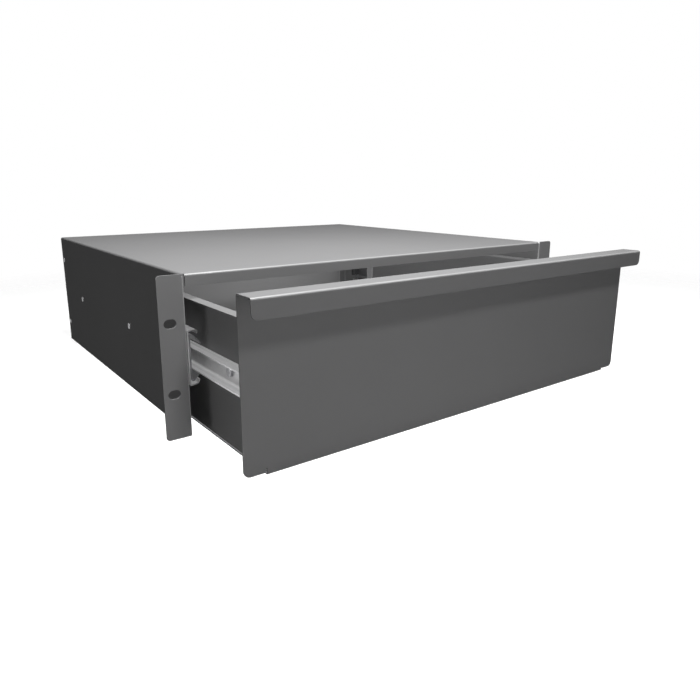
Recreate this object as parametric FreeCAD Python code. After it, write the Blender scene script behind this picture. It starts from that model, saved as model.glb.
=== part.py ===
import FreeCAD, Part
import math
import os

"""Sliding rack drawer, three rack units high.

A folded steel case with rack ears carries a folded drawer on two ball-bearing telescopic slides.
Frame: X is the rack's width, Y runs back into the rack and Z is up. The origin is the centre of the
rack slot pattern, on the front face of the ears. The drawer is shown partly open.
All sizes are in millimetres.
"""

# ---- rack interface -------------------------------------------------------------------------
ear_span = 482.6
rack_units = 3
unit_pitch = 44.45
unit_play = 0.85
slot_inset = 8.75
slot_rise = 57.15
slot_length = 10.2
slot_width = 7.2
ear_corner_radius = 3.0

# ---- case sheet -----------------------------------------------------------------------------
sheet = 1.2
bend_inner = 0.8
ear_reach = 20.5
case_depth = 400.0
lip_height = 9.8
lip_side_gap = 1.0
rear_flange_depth = 16.0
rear_floor_flange_inset = 2.0
seam_play = 0.3

# ---- drawer sheet ---------------------------------------------------------------------------
drawer_open = 98.0
panel_gap = 1.1
panel_ear_show = 16.0
panel_ground_gap = 4.0
panel_top_gap = 0.2
panel_corner_radius = 5.5
handle_reach = 19.0
handle_drop = 14.8
handle_corner_radius = 5.0
floor_ground_gap = 1.7
rear_wall_height = 30.0
rear_wall_gap = 5.2
side_height = 109.3
side_foot_flange = 10.5
side_crown_reach = 8.6
upright_flange = 11.6
relief_width = 1.5
relief_height = 3.5

# ---- telescopic slides ----------------------------------------------------------------------
slide_width = 12.7
slide_centre_rise = 65.0
rail_rear_room = 50.0
rail_sheet = 1.1
rail_bend_inner = 0.8
case_rail_height = 45.7
drawer_rail_height = 18.1
member_gap = 0.25
ball_radius = 1.985
ball_play = 0.115
outer_race_offset = 6.7
inner_race_offset = 7.9
inner_race_drop = 0.7
middle_crown_radius = 1.5
case_lip_wrap = 0.8
middle_lip_lift = 0.5
rail_nose_cut = 3.0
buffer_length = 6.0
buffer_gap = 0.5
buffer_height = 24.0

# ---- ball cages -----------------------------------------------------------------------------
cage_sheet = 0.5
cage_length = 150.0
cage_middle_setback = 170.0
cage_margin = 0.3
cage_pocket_play = 0.07
cage_outer_tail = 3.2
cage_inner_tail = 2.9
balls_per_row = 4
ball_end_margin = 12.0
ball_sides = 8
ball_latitudes = (-67.5, -22.5, 22.5, 67.5)

# ---- fasteners ------------------------------------------------------------------------------
screw_radius = 2.0
screw_hole_play = 0.1
rail_screw_head_radius = 3.8
rail_screw_head_height = 2.0
wall_screw_head_radius = 2.8
wall_screw_head_height = 0.5
screw_tail = 1.0
screw_head_sides = 16
screw_shank_sides = 8
case_rail_screw_places = (142.5, 317.0)
drawer_rail_screw_places = (47.0, 175.0, 303.0)
rear_screw_rises = (24.7, 104.5)

# ---- derived places -------------------------------------------------------------------------
ear_height = rack_units * unit_pitch - unit_play
bottom = -ear_height / 2.0
top = ear_height / 2.0
half_ears = ear_span / 2.0
slot_span = ear_span - 2 * slot_inset
half_case = half_ears - ear_reach
half_case_inside = half_case - sheet
bend_mid = bend_inner + sheet / 2.0
bend_outer = bend_inner + sheet
half_drawer = half_case_inside - slide_width
half_panel = half_ears - panel_ear_show

drawer_shift = -drawer_open
panel_back = drawer_shift - panel_gap
panel_front = panel_back - sheet
panel_bottom = bottom + panel_ground_gap
panel_top = top - panel_top_gap
floor_bottom = bottom + floor_ground_gap
floor_top = floor_bottom + sheet
drawer_rear = drawer_shift + case_depth - rear_wall_gap
side_rear = drawer_rear - sheet
side_top = floor_top + side_height

slide_z = bottom + slide_centre_rise
rail_length = case_depth - rail_rear_room
member_length = rail_length - buffer_length - buffer_gap
drawer_rail_front = drawer_shift
race_radius = ball_radius + ball_play
race_mid = race_radius + rail_sheet / 2.0
outer_race_rise = case_rail_height / 2.0 - rail_sheet - race_radius
inner_race_rise = drawer_rail_height / 2.0 - inner_race_drop + race_radius
middle_web = rail_sheet + member_gap + rail_sheet / 2.0
drawer_tip = middle_web + rail_sheet / 2.0 + member_gap
cage_front = cage_middle_setback - cage_length / 2.0
inner_cage_front = cage_front - drawer_open / 2.0

X_AXIS = FreeCAD.Vector(1, 0, 0)
Y_AXIS = FreeCAD.Vector(0, 1, 0)
Z_AXIS = FreeCAD.Vector(0, 0, 1)


def vector(x, y, z):
    return FreeCAD.Vector(x, y, z)


# ---- planes: where a flat outline's two coordinates lie -------------------------------------
def across(x, z):
    """Outline seen from the front, at y = 0."""
    return vector(x, 0, z)


def along(y, z):
    """Outline seen from the side, at x = 0."""
    return vector(0, y, z)


def plan(x, y):
    """Outline seen from above, at z = 0."""
    return vector(x, y, 0)


# ---- folded sheet ---------------------------------------------------------------------------
def unit(point):
    length = math.hypot(point[0], point[1])
    return (point[0] / length, point[1] / length)


def shifted(point, direction, distance):
    return (point[0] + direction[0] * distance, point[1] + direction[1] * distance)


def left_of(direction):
    return (-direction[1], direction[0])


def sheet_side(points, radii, offset):
    """One face of a folded sheet: pieces between points, ('line', a, b) or ('arc', a, mid, b)."""
    directions = [unit((b[0] - a[0], b[1] - a[1])) for a, b in zip(points, points[1:])]
    pieces = []
    start = shifted(points[0], left_of(directions[0]), offset)
    for index, radius in enumerate(radii):
        corner = points[index + 1]
        before = directions[index]
        after = directions[index + 1]
        cross = before[0] * after[1] - before[1] * after[0]
        turn = math.atan2(cross, before[0] * after[0] + before[1] * after[1])
        hand = math.copysign(1.0, turn)
        tangent = radius * math.tan(abs(turn) / 2.0)
        entry = shifted(corner, before, -tangent)
        leave = shifted(corner, after, tangent)
        centre = shifted(entry, left_of(before), hand * radius)
        outward = unit((corner[0] - centre[0], corner[1] - centre[1]))
        a = shifted(entry, left_of(before), offset)
        middle = shifted(centre, outward, radius - hand * offset)
        b = shifted(leave, left_of(after), offset)
        pieces.append(("line", start, a))
        pieces.append(("arc", a, middle, b))
        start = b
    pieces.append(("line", start, shifted(points[-1], left_of(directions[-1]), offset)))
    return pieces


def piece_edge(piece, place):
    if piece[0] == "line":
        return Part.LineSegment(place(*piece[1]), place(*piece[2])).toShape()
    return Part.Arc(place(*piece[1]), place(*piece[2]), place(*piece[3])).toShape()


def reversed_piece(piece):
    return (piece[0],) + tuple(reversed(piece[1:]))


def folded(points, radii, thickness, place, run):
    """A sheet folded along a centre line, run along a vector. radii are the centre line's."""
    near = sheet_side(points, radii, thickness / 2.0)
    far = [reversed_piece(piece) for piece in reversed(sheet_side(points, radii, -thickness / 2.0))]
    outline = near + [("line", near[-1][-1], far[0][1])] + far + [("line", far[-1][-1], near[0][1])]
    wire = Part.Wire([piece_edge(piece, place) for piece in outline])
    return Part.Face(wire).extrude(run)


def block(x0, x1, y0, y1, z0, z1):
    return Part.makeBox(x1 - x0, y1 - y0, z1 - z0, vector(x0, y0, z0))


def mirrored(shape):
    """The same piece on the right-hand side."""
    return shape.mirror(vector(0, 0, 0), X_AXIS)


def moved(shape, x, y, z):
    copy = shape.copy()
    copy.translate(vector(x, y, z))
    return copy


def rounded_corner_cut(corner_x, corner_z, to_x, to_z, radius, y0, y1):
    """What a rounded corner of an upright plate loses. to_x and to_z point into the plate."""
    square_x = sorted((corner_x, corner_x + to_x * radius))
    square_z = sorted((corner_z, corner_z + to_z * radius))
    square = block(square_x[0], square_x[1], y0, y1, square_z[0], square_z[1])
    centre = vector(corner_x + to_x * radius, y0, corner_z + to_z * radius)
    return square.cut(Part.makeCylinder(radius, y1 - y0, centre, Y_AXIS))


def slot_cutter(x, z, length, width, y0, y1):
    """A slot through a plate, its long way along X."""
    radius = width / 2.0
    reach = length / 2.0 - radius
    cutter = block(x - reach, x + reach, y0, y1, z - radius, z + radius)
    for end in (-reach, reach):
        cutter = cutter.fuse(Part.makeCylinder(radius, y1 - y0, vector(x + end, y0, z), Y_AXIS))
    return cutter.removeSplitter()


def cross_hole(y, z, radius):
    """A hole through both sides of the case at one Y and Z, along X."""
    start = half_case + sheet
    return Part.makeCylinder(radius, 2 * start, vector(-start, y, z), X_AXIS)


# ---- case -----------------------------------------------------------------------------------
def ear():
    """The left rack ear and the bend that joins it to the side."""
    mid_y = sheet / 2.0
    wall_mid = -half_case + sheet / 2.0
    strip_points = [(-half_ears, mid_y), (wall_mid, mid_y), (wall_mid, sheet / 2.0 + bend_mid + seam_play)]
    shape = folded(strip_points, [bend_mid], sheet, plan, Z_AXIS * ear_height)
    shape.translate(vector(0, 0, bottom))
    flat_end = wall_mid - bend_mid
    over_bend = block(flat_end, 0, -sheet, bend_outer + sheet, top - bend_outer, top + sheet)
    shape = shape.cut(over_bend)
    for corner_z, inward in ((bottom, 1), (top, -1)):
        shape = shape.cut(
            rounded_corner_cut(-half_ears, corner_z, 1, inward, ear_corner_radius, -sheet, 2 * sheet)
        )
    for rise in (-slot_rise / 2.0, slot_rise / 2.0):
        shape = shape.cut(slot_cutter(-slot_span / 2.0, rise, slot_length, slot_width, -sheet, 2 * sheet))
    return shape


def front_lip():
    """The top's front edge, turned down between the sides."""
    half_lip = half_case_inside - lip_side_gap
    mid_z = top - sheet / 2.0
    mid_y = sheet / 2.0
    points = [(mid_y + bend_mid + sheet, mid_z), (mid_y, mid_z), (mid_y, top - lip_height)]
    shape = folded(points, [bend_mid], sheet, along, X_AXIS * (2 * half_lip))
    return moved(shape, -half_lip, 0, 0)


def case_shell():
    mid_x = half_case - sheet / 2.0
    mid_z = top - sheet / 2.0
    start = sheet / 2.0 + bend_mid
    points = [(-mid_x, bottom), (-mid_x, mid_z), (mid_x, mid_z), (mid_x, bottom)]
    hood = folded(points, [bend_mid, bend_mid], sheet, across, Y_AXIS * (case_depth - start))
    hood.translate(vector(0, start, 0))
    left_ear = ear()
    shape = hood.multiFuse([left_ear, mirrored(left_ear), front_lip()]).removeSplitter()
    hole = screw_radius + screw_hole_play
    for y in case_rail_screw_places:
        shape = shape.cut(cross_hole(y, slide_z, hole))
    for rise in rear_screw_rises:
        shape = shape.cut(cross_hole(rear_screw_y(), bottom + rise, hole))
    return shape


def rear_screw_y():
    return case_depth - rear_flange_depth / 2.0


def rear_panel():
    """The back of the case: side flanges turned forward against the sides, and a floor flange."""
    mid_x = half_case_inside - sheet / 2.0
    mid_y = case_depth - sheet / 2.0
    front = case_depth - rear_flange_depth
    ceiling = top - sheet - bend_inner
    points = [(-mid_x, front), (-mid_x, mid_y), (mid_x, mid_y), (mid_x, front)]
    shape = folded(points, [bend_mid, bend_mid], sheet, plan, Z_AXIS * (ceiling - bottom))
    shape.translate(vector(0, 0, bottom))
    half_flange = half_case_inside - bend_outer - rear_floor_flange_inset
    flange_points = [(front, bottom + sheet / 2.0), (mid_y, bottom + sheet / 2.0), (mid_y, bottom + 2 * bend_outer)]
    flange = folded(flange_points, [bend_mid], sheet, along, X_AXIS * (2 * half_flange))
    flange.translate(vector(-half_flange, 0, 0))
    bend_zone = block(-half_flange, half_flange, front, case_depth + sheet, bottom - sheet, bottom + bend_outer)
    shape = shape.cut(bend_zone).fuse(flange).removeSplitter()
    hole = screw_radius + screw_hole_play
    for rise in rear_screw_rises:
        shape = shape.cut(cross_hole(rear_screw_y(), bottom + rise, hole))
    return shape


# ---- drawer ---------------------------------------------------------------------------------
def drawer_tray():
    """Handle hook, front panel, floor and low rear wall, folded from one sheet."""
    panel_mid = (panel_front + panel_back) / 2.0
    handle_mid = panel_front - handle_reach + sheet / 2.0
    crown_mid = panel_top - sheet / 2.0
    floor_mid = (floor_bottom + floor_top) / 2.0
    rear_mid = drawer_rear - sheet / 2.0
    face_points = [
        (handle_mid, panel_top - handle_drop),
        (handle_mid, crown_mid),
        (panel_mid, crown_mid),
        (panel_mid, panel_bottom),
    ]
    face = folded(face_points, [bend_mid, bend_mid], sheet, along, X_AXIS * (2 * half_panel))
    face.translate(vector(-half_panel, 0, 0))
    notch_top = panel_bottom + relief_height
    for side in (-1, 1):
        face = face.cut(
            rounded_corner_cut(
                side * half_panel, panel_bottom, -side, 1, panel_corner_radius,
                panel_front - sheet, panel_back + sheet,
            )
        )
        face = face.cut(
            rounded_corner_cut(
                side * half_panel, panel_top - handle_drop, -side, 1, handle_corner_radius,
                panel_front - handle_reach - sheet, panel_front - handle_reach + 2 * sheet,
            )
        )
    bed_points = [
        (panel_mid, notch_top + sheet),
        (panel_mid, floor_mid),
        (rear_mid, floor_mid),
        (rear_mid, floor_bottom + rear_wall_height),
    ]
    bed = folded(bed_points, [bend_mid, bend_mid], sheet, along, X_AXIS * (2 * half_drawer))
    bed.translate(vector(-half_drawer, 0, 0))
    half_relief = half_drawer + relief_width
    under_bend = block(
        -half_relief, half_relief, panel_front - sheet, panel_back + sheet, panel_bottom - sheet, notch_top
    )
    shape = face.cut(under_bend).fuse(bed).removeSplitter()
    return shape


def drawer_side():
    """The left side of the drawer: its foot turns in, its top edge turns out over the slide."""
    web_mid = -half_drawer + sheet / 2.0
    foot_mid = floor_top + sheet / 2.0
    crown_mid = side_top - sheet / 2.0
    foot_end = -half_drawer + side_foot_flange
    crown_end = -half_drawer - side_crown_reach
    front = panel_back
    back = side_rear
    points = [(crown_end, crown_mid), (web_mid, crown_mid), (web_mid, foot_mid), (foot_end, foot_mid)]
    length = back - front - 2 * bend_inner
    channel = folded(points, [bend_mid, bend_mid], sheet, across, Y_AXIS * length)
    channel.translate(vector(0, front + bend_inner, 0))
    low = floor_top + bend_outer + seam_play
    high = side_top - bend_outer - seam_play
    web_front = front + bend_outer + seam_play
    web_back = back - bend_outer - seam_play
    for start, end in ((front, web_front), (web_back, back)):
        channel = channel.cut(block(-half_drawer - sheet, 0, start, end, low - seam_play, high + seam_play))
    upright_end = -half_drawer + upright_flange
    walls = []
    for flange_mid, wall_end in ((front + sheet / 2.0, web_front), (back - sheet / 2.0, web_back)):
        upright = [(upright_end, flange_mid), (web_mid, flange_mid), (web_mid, wall_end)]
        wall = folded(upright, [bend_mid], sheet, plan, Z_AXIS * (high - low))
        walls.append(moved(wall, 0, 0, low))
    shape = channel.multiFuse(walls).removeSplitter()
    for place in drawer_rail_screw_places:
        shape = shape.cut(
            Part.makeCylinder(
                screw_radius + screw_hole_play, 2 * bend_outer,
                vector(-half_drawer - sheet / 2.0, drawer_rail_front + place, slide_z), X_AXIS,
            )
        )
    return shape


# ---- slide members, at the left: u runs from the case wall to the drawer, w up from the middle
def slide_plane(u, w):
    return vector(-half_case_inside + u, 0, slide_z + w)


def both_halves(points, radii):
    """A centre line from its upper end to its lower end, from the upper half's points."""
    lower = [(u, -w) for u, w in reversed(points)]
    return points + lower, radii + list(reversed(radii))


def case_rail():
    """The outer member: its edges curl over the outer balls."""
    web = rail_sheet / 2.0
    flange = case_rail_height / 2.0 - rail_sheet / 2.0
    lip = outer_race_offset + race_mid
    upper = [(lip, outer_race_rise - case_lip_wrap), (lip, flange), (web, flange)]
    points, radii = both_halves(upper, [race_mid, rail_bend_inner + rail_sheet / 2.0])
    shape = folded(points, radii, rail_sheet, slide_plane, Y_AXIS * rail_length)
    start = rail_bend_inner + rail_sheet
    end = lip + rail_sheet
    for sign in (-1, 1):
        low = sign * (case_rail_height / 2.0 + rail_sheet)
        high = sign * (outer_race_rise - case_lip_wrap - rail_sheet)
        nose = Part.makePolygon([
            slide_plane(start, low),
            slide_plane(end, low),
            slide_plane(end, low) + Y_AXIS * rail_nose_cut,
            slide_plane(start, low),
        ])
        shape = shape.cut(Part.Face(nose).extrude(Z_AXIS * (high - low)))
    for y in case_rail_screw_places:
        shape = shape.cut(cross_hole_at_left(y, screw_radius + screw_hole_play))
    return shape


def cross_hole_at_left(y, radius):
    """A hole along X through the left slide's webs at one Y."""
    return Part.makeCylinder(radius, slide_width, slide_plane(0, 0) + Y_AXIS * y, X_AXIS)


def contact_tangent():
    """Where the middle rail's slope touches the circles around the outer and the inner ball."""
    du = inner_race_offset - outer_race_offset
    dw = inner_race_rise - outer_race_rise
    distance = math.hypot(du, dw)
    heading = math.atan2(dw, du) + math.asin(2 * race_mid / distance)
    below = (math.sin(heading), -math.cos(heading))
    over = shifted((outer_race_offset, outer_race_rise), below, race_mid)
    return over, (math.cos(heading), math.sin(heading))


def middle_rail():
    """The intermediate member: each flange slopes from the outer balls down over the inner balls."""
    touch, heading = contact_tangent()
    slope = heading[1] / heading[0]
    crown = (middle_web, touch[1] + (middle_web - touch[0]) * slope)
    hook = inner_race_offset + race_mid
    shoulder = (hook, touch[1] + (hook - touch[0]) * slope)
    upper = [(hook, inner_race_rise - seam_play), shoulder, crown]
    points, radii = both_halves(upper, [race_mid, middle_crown_radius])
    shape = folded(points, radii, rail_sheet, slide_plane, Y_AXIS * member_length)
    lip_end = inner_race_rise + middle_lip_lift
    low = slide_plane(inner_race_offset, -lip_end)
    high = slide_plane(slide_width, lip_end)
    return shape.cut(block(low.x, high.x, 0, member_length, low.z, high.z))


def drawer_rail():
    """The inner member: a channel with a rolled groove for the inner balls in each flange."""
    web = slide_width - rail_sheet / 2.0
    flange = drawer_rail_height / 2.0 - rail_sheet / 2.0
    points = [(drawer_tip, flange), (web, flange), (web, -flange), (drawer_tip, -flange)]
    bend = rail_bend_inner + rail_sheet / 2.0
    run = Y_AXIS * member_length
    shape = folded(points, [bend, bend], rail_sheet, slide_plane, run)
    for sign in (-1, 1):
        centre = slide_plane(inner_race_offset, sign * inner_race_rise)
        skin = Part.makeCylinder(race_radius + rail_sheet, member_length, centre, Y_AXIS)
        limit = slide_plane(0, 0)
        reach = drawer_rail_height / 2.0 - rail_sheet / 2.0
        keep = block(
            limit.x, limit.x + slide_width, 0, member_length,
            limit.z - reach, limit.z + reach,
        )
        shape = shape.fuse(skin.common(keep))
        shape = shape.cut(Part.makeCylinder(race_radius, member_length, centre, Y_AXIS))
    shape = shape.removeSplitter()
    shape.translate(Y_AXIS * drawer_rail_front)
    for place in drawer_rail_screw_places:
        shape = shape.cut(cross_hole_at_left(drawer_rail_front + place, screw_radius + screw_hole_play))
    return shape


def row_places(front):
    """Where the balls of one row lie along the cage."""
    pitch = (cage_length - 2 * ball_end_margin) / (balls_per_row - 1)
    return [front + ball_end_margin + pitch * index for index in range(balls_per_row)]


def ball():
    """A small ball with flat facets: rings of corners on the sphere, joined by flat faces."""
    rings = []
    for latitude in ball_latitudes:
        ring_radius = ball_radius * math.cos(math.radians(latitude))
        height = ball_radius * math.sin(math.radians(latitude))
        turns = [2 * math.pi * index / ball_sides for index in range(ball_sides)]
        rings.append([vector(ring_radius * math.cos(t), ring_radius * math.sin(t), height) for t in turns])
    faces = [Part.Face(Part.makePolygon(ring + ring[:1])) for ring in (rings[0], rings[-1])]
    for low, high in zip(rings, rings[1:]):
        for index in range(ball_sides):
            after = (index + 1) % ball_sides
            corners = [low[index], low[after], high[after], high[index], low[index]]
            faces.append(Part.Face(Part.makePolygon(corners)))
    return Part.makeSolid(Part.makeShell(faces))


def ball_rows(u, w, front):
    pattern = ball()
    balls = []
    for sign in (-1, 1):
        for y in row_places(front):
            place = slide_plane(u, sign * w) + Y_AXIS * y
            balls.append(moved(pattern, place.x, place.y, place.z))
    return Part.makeCompound(balls)


def cage_strips(u, w, heading, tail, nose, front):
    """An upper and a lower strip with a pocket for each ball, each through its balls' centres."""
    strips = []
    pocket = ball_radius + cage_pocket_play
    for sign in (-1, 1):
        start = (u - heading[0] * nose, sign * (w - heading[1] * nose))
        end = (u + heading[0] * tail, sign * (w + heading[1] * tail))
        strip = folded([start, end], [], cage_sheet, slide_plane, Y_AXIS * cage_length)
        strip.translate(Y_AXIS * front)
        low = (u - heading[0] * pocket, sign * (w - heading[1] * pocket))
        high = (u + heading[0] * pocket, sign * (w + heading[1] * pocket))
        for y in row_places(front):
            punch = folded([low, high], [], 2 * cage_sheet, slide_plane, Y_AXIS * (2 * pocket))
            punch.translate(Y_AXIS * (y - pocket))
            strip = strip.cut(punch)
        strips.append(strip)
    return Part.makeCompound(strips)


def outer_cage():
    heading = contact_tangent()[1]
    nose = ball_radius + cage_margin
    return cage_strips(outer_race_offset, outer_race_rise, heading, cage_outer_tail, nose, cage_front)


def inner_cage():
    return cage_strips(
        inner_race_offset, inner_race_rise, (1.0, 0.0), cage_inner_tail, cage_inner_tail, inner_cage_front
    )


def rear_buffer():
    """The rubber stop at the back of the case rail."""
    low = slide_plane(rail_sheet, -buffer_height / 2.0)
    high = slide_plane(slide_width - member_gap, buffer_height / 2.0)
    shape = block(low.x, high.x, rail_length - buffer_length, rail_length, low.z, high.z)
    front_edges = [
        edge for edge in shape.Edges
        if all(abs(vertex.Point.y - (rail_length - buffer_length)) < seam_play for vertex in edge.Vertexes)
    ]
    return shape.makeChamfer(rail_bend_inner, front_edges)


# ---- fasteners ------------------------------------------------------------------------------
def rod(radius, sides, start, length):
    """A straight faceted rod along +X, from the place start."""
    turns = [2 * math.pi * index / sides for index in range(sides)]
    corners = [vector(start, radius * math.cos(t), radius * math.sin(t)) for t in turns]
    return Part.Face(Part.makePolygon(corners + corners[:1])).extrude(X_AXIS * length)


def screw(head_radius, head_height, grip):
    """A flat head screw: its head's underside lies at the origin, its shank runs along +X."""
    head = rod(head_radius, screw_head_sides, -head_height, head_height)
    shank = rod(screw_radius, screw_shank_sides, 0, grip)
    return head.fuse(shank).removeSplitter()


def wall_screws(places, grip):
    """Screws with their heads outside the case, at (y, z) places on both sides."""
    screws = []
    for y, z in places:
        left = moved(screw(wall_screw_head_radius, wall_screw_head_height, grip), -half_case, y, z)
        screws.append(left)
        screws.append(mirrored(left))
    return Part.makeCompound(screws)


def case_rail_screws():
    return wall_screws([(y, slide_z) for y in case_rail_screw_places], sheet + rail_sheet)


def rear_panel_screws():
    places = [(rear_screw_y(), bottom + rise) for rise in rear_screw_rises]
    return wall_screws(places, 2 * sheet + screw_tail)


def drawer_rail_screws():
    """Screws with their heads inside the drawer rails, through the drawer's sides."""
    screws = []
    head_at = -half_case_inside + slide_width - rail_sheet
    for place in drawer_rail_screw_places:
        left = screw(rail_screw_head_radius, rail_screw_head_height, rail_sheet + sheet + screw_tail)
        left = moved(left, head_at, drawer_rail_front + place, slide_z)
        screws.append(left)
        screws.append(mirrored(left))
    return Part.makeCompound(screws)


# ---- output ---------------------------------------------------------------------------------
def write(name, shape):
    shape.exportStep(os.path.join("parts", name + ".step"))


def main():
    os.makedirs("parts", exist_ok=True)
    write("case_shell", case_shell())
    write("rear_panel", rear_panel())
    write("rear_panel_screws", rear_panel_screws())
    write("case_rail_screws", case_rail_screws())
    write("drawer_tray", drawer_tray())
    write("drawer_rail_screws", drawer_rail_screws())
    pairs = {
        "drawer_side": drawer_side(),
        "case_rail": case_rail(),
        "middle_rail": middle_rail(),
        "drawer_rail": drawer_rail(),
        "outer_ball_cage": outer_cage(),
        "outer_balls": ball_rows(outer_race_offset, outer_race_rise, cage_front),
        "inner_ball_cage": inner_cage(),
        "inner_balls": ball_rows(inner_race_offset, inner_race_rise, inner_cage_front),
        "rear_buffer": rear_buffer(),
    }
    for name, left in pairs.items():
        write("left_" + name, left)
        write("right_" + name, mirrored(left))


main()
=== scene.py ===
"""A sliding rack drawer, three units high: folded case, ball-bearing slides and a hooked front."""

import logging
import math
from dataclasses import dataclass
from enum import Enum
from typing import Union

import bmesh
import bpy
from mathutils import Matrix, Vector


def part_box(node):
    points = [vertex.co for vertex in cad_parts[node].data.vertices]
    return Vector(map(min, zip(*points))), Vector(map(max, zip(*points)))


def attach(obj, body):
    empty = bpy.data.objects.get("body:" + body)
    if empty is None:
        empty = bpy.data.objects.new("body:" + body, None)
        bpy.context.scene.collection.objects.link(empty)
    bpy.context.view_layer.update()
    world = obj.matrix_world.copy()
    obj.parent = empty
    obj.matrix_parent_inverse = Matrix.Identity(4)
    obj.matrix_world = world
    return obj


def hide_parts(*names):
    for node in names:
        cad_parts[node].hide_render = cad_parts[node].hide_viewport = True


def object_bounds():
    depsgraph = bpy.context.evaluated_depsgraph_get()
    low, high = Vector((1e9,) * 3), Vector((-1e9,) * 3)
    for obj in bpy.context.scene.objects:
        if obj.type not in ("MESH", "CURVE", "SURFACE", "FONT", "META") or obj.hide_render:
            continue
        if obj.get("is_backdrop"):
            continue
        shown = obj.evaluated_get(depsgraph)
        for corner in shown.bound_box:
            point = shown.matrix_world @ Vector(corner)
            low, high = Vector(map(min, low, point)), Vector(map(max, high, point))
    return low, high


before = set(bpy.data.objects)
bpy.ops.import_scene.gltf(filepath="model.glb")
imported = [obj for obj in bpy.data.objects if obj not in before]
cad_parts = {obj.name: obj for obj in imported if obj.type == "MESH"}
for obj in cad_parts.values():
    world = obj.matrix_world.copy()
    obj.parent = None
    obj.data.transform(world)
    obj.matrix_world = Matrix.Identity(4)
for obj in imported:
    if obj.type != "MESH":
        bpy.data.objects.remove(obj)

log = logging.getLogger("rack_drawer")
MM = 0.001
FACING = 0.9  # a face looks along an axis where its normal's part along it is more than this
RIM_ATTRIBUTE = "rim"
# Marks the folds that face forwards, where a highlight is painted into the coat's colour.
FOLD_HIGHLIGHT_ATTRIBUTE = "fold"

Triple = tuple[float, float, float]
Feed = Union[bpy.types.NodeSocket, float, Triple]


class Side(Enum):
    """The two sides of the rack drawer, seen from its front."""

    LEFT = -1
    RIGHT = 1

    def node(self, name: str) -> str:
        """Returns the CAD node's name on this side."""
        return f"{self.name.lower()}_{name}"


# ---- selecting and finishing meshes ---------------------------------------------------------
def only_nothing() -> None:
    """Leaves nothing selected."""
    bpy.ops.object.select_all(action="DESELECT")


def only(piece: bpy.types.Object) -> None:
    """Makes a piece the one that is selected and active.

    Args:
        piece: The object to select.
    """
    only_nothing()
    piece.select_set(True)
    bpy.context.view_layer.objects.active = piece


def apply_modifier(piece: bpy.types.Object, kind: str, **settings: object) -> None:
    """Adds a modifier with these settings and applies it.

    Args:
        piece: The object to change.
        kind: Blender's name for the modifier's type.
        settings: Values for the modifier's own properties.
    """
    only(piece)
    modifier = piece.modifiers.new(kind.lower(), kind)
    for name, value in settings.items():
        setattr(modifier, name, value)
    bpy.ops.object.modifier_apply(modifier=modifier.name)


def settle(piece: bpy.types.Object) -> None:
    """Moves a piece's place, turn and scale into its mesh."""
    only(piece)
    bpy.ops.object.transform_apply(location=True, rotation=True, scale=True)


def joined(pieces: list[bpy.types.Object], name: str) -> bpy.types.Object:
    """Joins pieces into one object.

    Args:
        pieces: The objects to join; the first keeps its place.
        name: The joined piece's name.

    Returns:
        The joined object.
    """
    only(pieces[0])
    for piece in pieces[1:]:
        piece.select_set(True)
    bpy.ops.object.join()
    whole = bpy.context.view_layer.objects.active
    whole.name = name
    whole.data.name = name
    return whole


def placed_copy(first: bpy.types.Object, place: Matrix) -> bpy.types.Object:
    """Copies a piece with its own mesh, and moves that mesh to its place.

    Args:
        first: The piece to copy.
        place: The move from the first piece's place.

    Returns:
        The copy, its place in its mesh.
    """
    copy = first.copy()
    copy.data = first.data.copy()
    bpy.context.scene.collection.objects.link(copy)
    copy.data.transform(place)
    return copy


def dressed(piece: bpy.types.Object, material: bpy.types.Material) -> None:
    """Gives a piece one material all over."""
    piece.data.materials.clear()
    piece.data.materials.append(material)


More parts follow.
